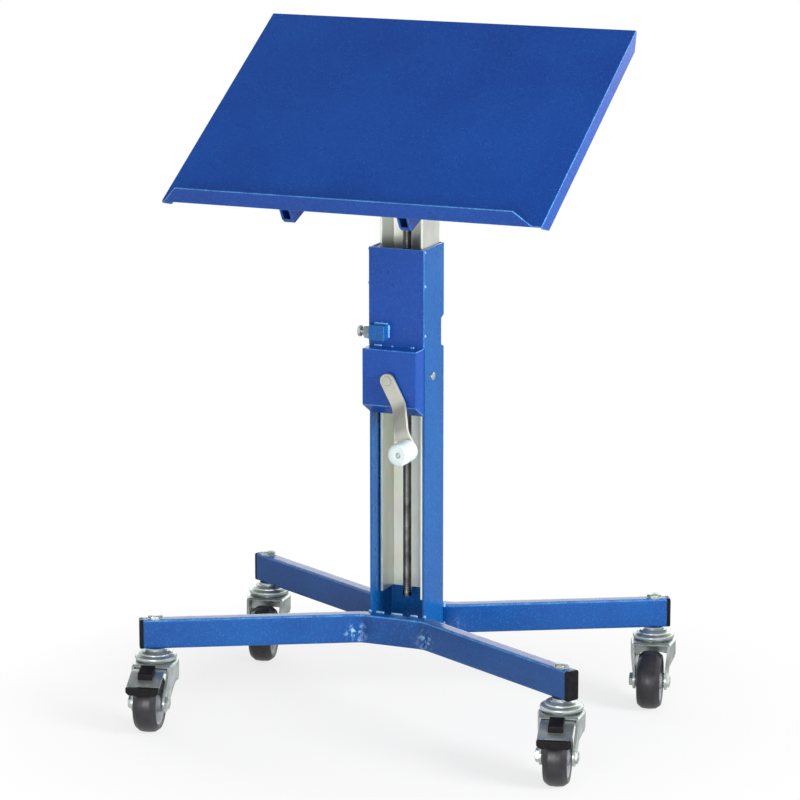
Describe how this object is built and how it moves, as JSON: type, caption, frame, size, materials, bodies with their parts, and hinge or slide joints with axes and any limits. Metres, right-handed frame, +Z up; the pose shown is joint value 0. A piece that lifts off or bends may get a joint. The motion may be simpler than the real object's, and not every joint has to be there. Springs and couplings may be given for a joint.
{
  "type": "height-adjustable material stand",
  "caption": "Mobile stand: two bent tubes on swivel casters, a channel column with a crank-driven telescopic mast, and a tilting tray with an upturned lip.",
  "frame": {"origin": "on the floor, under the spindle's axis", "axes": "+X to the object's own right as seen by a user at its front, front towards -Y, +Z up"},
  "size_m": [0.6587, 0.4809, 0.9316],
  "materials": {
    "blue_coat": "satin powder coat",
    "galvanised": "galvanised sheet",
    "zinc": "bright zinc plate",
    "dark_steel": "oiled steel",
    "brass": "turned",
    "guide_plastic": "natural plastic",
    "black_plastic": "moulded",
    "white_plastic": "moulded off-white",
    "tyre_rubber": "charcoal rubber",
    "wheel_hub": "moulded light grey"
  },
  "bodies": {
    "base": {"front_leg_tube": "blue_coat", "rear_leg_tube": "blue_coat", "leg_end_caps": "black_plastic", "caster_bolts": "zinc", "caster_nuts": "zinc", "caster_spacers": "zinc", "swivel_heads": "zinc", "column": "blue_coat", "column_front_panel": "blue_coat", "guide_pads": "guide_plastic", "guide_screws": "zinc", "clamp_block": "blue_coat", "adjusting_screw": "zinc", "lock_nut": "zinc", "gear_housing": "blue_coat", "gear_shelf": "blue_coat", "crank_bush": "dark_steel", "thrust_washer": "zinc"},
    "mast_body": {"mast": "galvanised", "mast_head": "galvanised", "pivot_shaft": "zinc", "spindle": "dark_steel", "spindle_lock_nut": "zinc", "clamp_stud": "zinc", "clamp_spacer": "zinc", "clamp_washer": "zinc"},
    "crank": {"crank_shaft": "zinc", "crank_pinion": "dark_steel", "crank_arm": "zinc", "grip_bolt": "zinc"},
    "grip": {"crank_grip": "white_plastic"},
    "nut_gear": {"spindle_nut": "brass"},
    "table": {"table_tray": "blue_coat", "left_table_arm": "blue_coat", "right_table_arm": "blue_coat", "tilt_quadrant": "zinc"},
    "lever": {"clamp_lever": "zinc", "lever_knob": "black_plastic"},
    "front_left_swivel": {"front_left_fork": "zinc", "front_left_axle": "zinc"},
    "front_left_wheel": {"front_left_tyre": "tyre_rubber", "front_left_hub": "wheel_hub"},
    "front_left_pedal": {"front_left_brake_pedal": "zinc", "front_left_pedal_pads": "black_plastic"},
    "front_right_swivel": {"front_right_fork": "zinc", "front_right_axle": "zinc"},
    "front_right_wheel": {"front_right_tyre": "tyre_rubber", "front_right_hub": "wheel_hub"},
    "front_right_pedal": {"front_right_brake_pedal": "zinc", "front_right_pedal_pads": "black_plastic"},
    "rear_left_swivel": {"rear_left_fork": "zinc", "rear_left_axle": "zinc"},
    "rear_left_wheel": {"rear_left_tyre": "tyre_rubber", "rear_left_hub": "wheel_hub"},
    "rear_right_swivel": {"rear_right_fork": "zinc", "rear_right_axle": "zinc"},
    "rear_right_wheel": {"rear_right_tyre": "tyre_rubber", "rear_right_hub": "wheel_hub"}
  },
  "joints": [
    {"name": "mast_lift", "type": "slide", "parent": "base", "child": "mast_body", "axis": [0, 0, 1], "range_m": [-0.03, 0.27]},
    {"name": "crank_turn", "type": "hinge", "parent": "base", "child": "crank", "pos_m": [0, 0, 0.4765], "axis": [0, 1, 0], "range_deg": [-3601, 32401]},
    {"name": "nut_turn", "type": "hinge", "parent": "base", "child": "nut_gear", "pos_m": [0, 0, 0.4765], "axis": [0, 0, 1], "range_deg": [-32401, 3601]},
    {"name": "grip_spin", "type": "hinge", "parent": "crank", "child": "grip", "pos_m": [0.04413, -0.12, 0.3935], "axis": [0, 1, 0], "continuous": true},
    {"name": "table_tilt", "type": "hinge", "parent": "mast_body", "child": "table", "pos_m": [0, 0, 0.788], "axis": [1, 0, 0], "range_deg": [-31, 14]},
    {"name": "lever_turn", "type": "hinge", "parent": "mast_body", "child": "lever", "pos_m": [0.0679, 0, 0.73], "axis": [1, 0, 0], "range_deg": [-70, 25]},
    {"name": "front_left_caster_swivel", "type": "hinge", "parent": "base", "child": "front_left_swivel", "pos_m": [-0.293, -0.181, 0.09], "axis": [0, 0, 1], "continuous": true},
    {"name": "front_left_wheel_spin", "type": "hinge", "parent": "front_left_swivel", "child": "front_left_wheel", "pos_m": [-0.28366, -0.2199, 0.04], "axis": [0.9724, 0.2334, 0], "continuous": true},
    {"name": "front_left_brake_press", "type": "hinge", "parent": "front_left_swivel", "child": "front_left_pedal", "pos_m": [-0.28926, -0.19656, 0.08], "axis": [0.9724, 0.2334, 0], "range_deg": [0, 4]},
    {"name": "front_right_caster_swivel", "type": "hinge", "parent": "base", "child": "front_right_swivel", "pos_m": [0.293, -0.181, 0.09], "axis": [0, 0, 1], "continuous": true},
    {"name": "front_right_wheel_spin", "type": "hinge", "parent": "front_right_swivel", "child": "front_right_wheel", "pos_m": [0.30234, -0.2199, 0.04], "axis": [0.9724, 0.2334, 0], "continuous": true},
    {"name": "front_right_brake_press", "type": "hinge", "parent": "front_right_swivel", "child": "front_right_pedal", "pos_m": [0.29674, -0.19656, 0.08], "axis": [0.9724, 0.2334, 0], "range_deg": [0, 4]},
    {"name": "rear_left_caster_swivel", "type": "hinge", "parent": "base", "child": "rear_left_swivel", "pos_m": [-0.293, 0.181, 0.09], "axis": [0, 0, 1], "continuous": true},
    {"name": "rear_left_wheel_spin", "type": "hinge", "parent": "rear_left_swivel", "child": "rear_left_wheel", "pos_m": [-0.28366, 0.14211, 0.04], "axis": [0.9724, 0.2334, 0], "continuous": true},
    {"name": "rear_right_caster_swivel", "type": "hinge", "parent": "base", "child": "rear_right_swivel", "pos_m": [0.293, 0.181, 0.09], "axis": [0, 0, 1], "continuous": true},
    {"name": "rear_right_wheel_spin", "type": "hinge", "parent": "rear_right_swivel", "child": "rear_right_wheel", "pos_m": [0.30234, 0.14211, 0.04], "axis": [0.9724, 0.2334, 0], "continuous": true}
  ],
  "couplings": [
    {"joint": "crank_turn", "follows": "mast_lift", "rad_per_m": 2094.4},
    {"joint": "nut_turn", "follows": "mast_lift", "rad_per_m": -2094.4}
  ]
}
